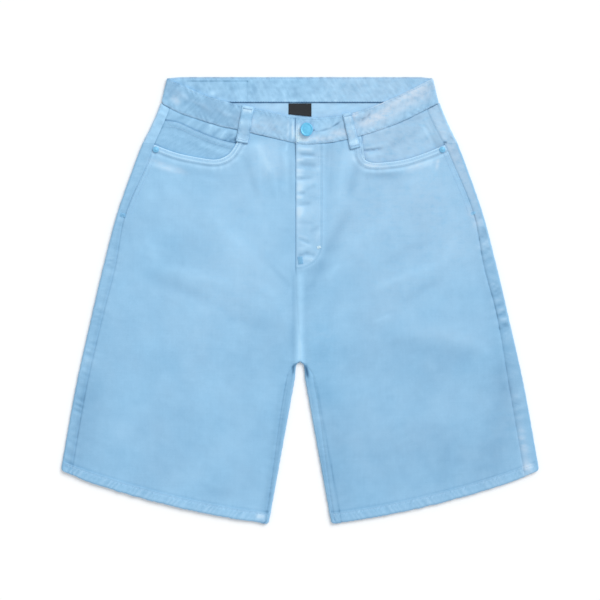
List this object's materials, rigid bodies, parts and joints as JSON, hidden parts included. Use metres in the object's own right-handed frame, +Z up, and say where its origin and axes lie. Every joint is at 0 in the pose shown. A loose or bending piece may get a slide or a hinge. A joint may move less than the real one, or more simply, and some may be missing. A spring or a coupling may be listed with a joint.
{
  "type": "denim shorts",
  "caption": "Wide-legged, knee-length denim shorts laid flat with the front up: buttoned waistband, fly, curved hip pockets, coin pocket and turned hems.",
  "frame": {"origin": "on the table, below the middle of the garment's length and width", "axes": "+X to the wearer's left, +Y from the hems to the waist, +Z up from the table, out of the front"},
  "size_m": [0.6932, 0.645, 0.0139],
  "materials": {
    "denim": "matt twill",
    "label": "woven, matt",
    "painted_metal": "satin"
  },
  "bodies": {
    "root": {"front_left": "denim", "front_right": "denim", "back_left": "denim", "back_right": "denim", "yoke_left": "denim", "yoke_right": "denim", "pocket_facing_left": "denim", "pocket_facing_right": "denim", "coin_pocket": "denim", "waistband": "denim", "belt_loop_left": "denim", "belt_loop_right": "denim", "label": "label", "button": "painted_metal", "rivet_left": "painted_metal", "rivet_right": "painted_metal"}
  },
  "joints": []
}
